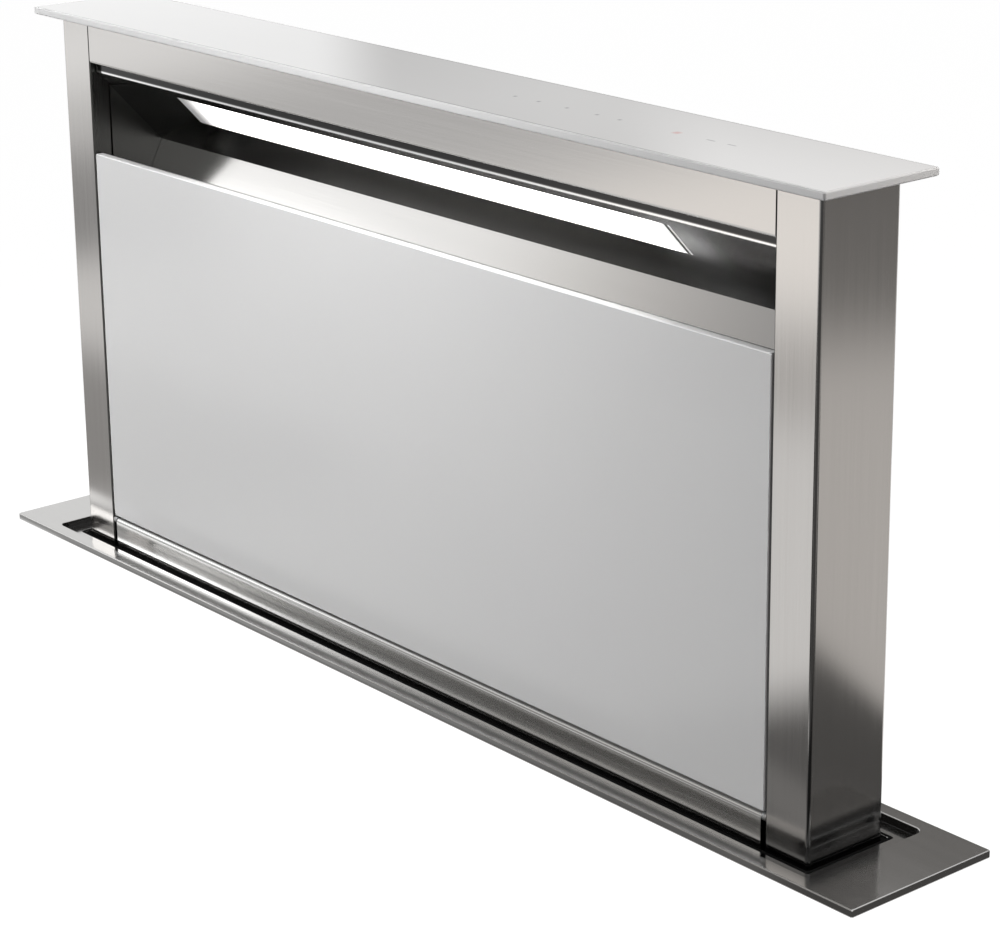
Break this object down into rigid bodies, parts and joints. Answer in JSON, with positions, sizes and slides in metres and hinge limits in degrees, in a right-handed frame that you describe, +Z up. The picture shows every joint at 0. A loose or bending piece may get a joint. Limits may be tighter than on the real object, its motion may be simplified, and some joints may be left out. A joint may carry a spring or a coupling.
{
  "type": "downdraft vent",
  "caption": "Motorised downdraft vent: a steel and white-glass tower that rises from a recessed worktop flange, with a lit suction slot, a tilting glass front, belt lift and blower.",
  "frame": {"origin": "middle of the flange opening, on the worktop's surface, where the flange's gasket rests", "axes": "+X along the flange to the user's right, -Y towards the user, +Z up"},
  "size_m": [0.88, 0.2877, 1.161],
  "materials": {
    "brushed_steel": "fine vertical or lengthwise brush",
    "polished_steel": "bright annealed",
    "galvanised_sheet": "zinc-coated sheet, matt spangle",
    "white_glass": "back-enamelled white, glossy",
    "opal_plastic": "opal, satin",
    "black_plastic": "moulded, matt",
    "white_plastic": "moulded, satin",
    "black_rubber": "matt",
    "gasket_foam": "closed-cell foam",
    "plain_steel": "bright zinc",
    "dark_casting": "dark paint",
    "plain_aluminium": "extruded",
    "filter_mesh": "layered mesh",
    "circuit_board": "solder mask"
  },
  "bodies": {
    "base": {"worktop_flange": "brushed_steel", "worktop_gasket": "gasket_foam", "slot_seal": "black_rubber", "housing_back": "galvanised_sheet", "housing_front": "galvanised_sheet", "housing_pan": "galvanised_sheet", "guide_rails": "galvanised_sheet", "top_pads": "black_plastic", "lift_belts": "black_rubber", "idler_axles": "plain_steel", "shaft_bearings": "black_plastic", "lift_gearmotor": "dark_casting", "gearmotor_bracket": "galvanised_sheet", "volute": "black_plastic", "fan_motor": "dark_casting", "blower_box": "galvanised_sheet", "blower_lid": "galvanised_sheet", "outlet_collar": "black_plastic", "flap_pins": "plain_steel", "control_box": "black_plastic", "control_lid": "black_plastic", "control_board": "circuit_board", "mains_gland": "black_plastic", "foot_brackets": "galvanised_sheet", "foot_bolts": "plain_steel", "housing_screws": "plain_steel", "lid_screws": "plain_steel"},
    "tower": {"column_right": "brushed_steel", "column_left": "brushed_steel", "rear_panel": "brushed_steel", "fascia": "brushed_steel", "lower_rail": "brushed_steel", "filter_ledge": "brushed_steel", "tower_crossbar": "galvanised_sheet", "side_liners": "brushed_steel", "soffit": "brushed_steel", "rear_baffle": "polished_steel", "led_lens": "opal_plastic", "led_channel": "plain_aluminium", "led_board": "circuit_board", "cap_glass": "white_glass", "cap_tray": "galvanised_sheet", "touch_board": "circuit_board", "grease_filter_left": "filter_mesh", "grease_filter_right": "filter_mesh", "hinge_pins": "plain_steel", "latch_magnets": "plain_steel", "belt_clamps": "plain_steel", "glide_shoes": "white_plastic"},
    "panel": {"front_glass": "white_glass", "panel_frame": "galvanised_sheet"},
    "drive_shaft": {"drive_shaft": "plain_steel", "drive_pulleys": "black_plastic"},
    "idler_right": {"idler_right": "black_plastic"},
    "idler_left": {"idler_left": "black_plastic"},
    "fan_wheel": {"impeller": "black_plastic", "fan_shaft": "plain_steel"},
    "flap_front": {"flap_front": "white_plastic"},
    "flap_rear": {"flap_rear": "white_plastic"}
  },
  "joints": [
    {"name": "tower_lift", "type": "slide", "parent": "base", "child": "tower", "axis": [0, 0, 1], "range_m": [-0.396, 0]},
    {"name": "panel_tilt", "type": "hinge", "parent": "tower", "child": "panel", "pos_m": [0, -0.0282, 0.0185], "axis": [1, 0, 0], "range_deg": [0, 30]},
    {"name": "drive_spin", "type": "hinge", "parent": "base", "child": "drive_shaft", "pos_m": [0, -0.008, -0.715], "axis": [1, 0, 0], "range_deg": [0, 1446]},
    {"name": "idler_right_spin", "type": "hinge", "parent": "base", "child": "idler_right", "pos_m": [0.3885, -0.008, -0.028], "axis": [1, 0, 0], "range_deg": [0, 1446]},
    {"name": "idler_left_spin", "type": "hinge", "parent": "base", "child": "idler_left", "pos_m": [-0.3885, -0.008, -0.028], "axis": [1, 0, 0], "range_deg": [0, 1446]},
    {"name": "fan_spin", "type": "hinge", "parent": "base", "child": "fan_wheel", "pos_m": [0, -0.15, -0.6], "axis": [0, 1, 0], "continuous": true},
    {"name": "flap_front_swing", "type": "hinge", "parent": "base", "child": "flap_front", "pos_m": [0.225, -0.1452, -0.527], "axis": [0, 0, 1], "range_deg": [0, 70], "stiffness_Nm_per_rad": 0.01},
    {"name": "flap_rear_swing", "type": "hinge", "parent": "base", "child": "flap_rear", "pos_m": [0.225, -0.1368, -0.527], "axis": [0, 0, -1], "range_deg": [0, 70], "stiffness_Nm_per_rad": 0.01}
  ],
  "couplings": [
    {"joint": "drive_spin", "follows": "tower_lift", "rad_per_m": -63.694},
    {"joint": "idler_right_spin", "follows": "tower_lift", "rad_per_m": -63.694},
    {"joint": "idler_left_spin", "follows": "tower_lift", "rad_per_m": -63.694}
  ]
}
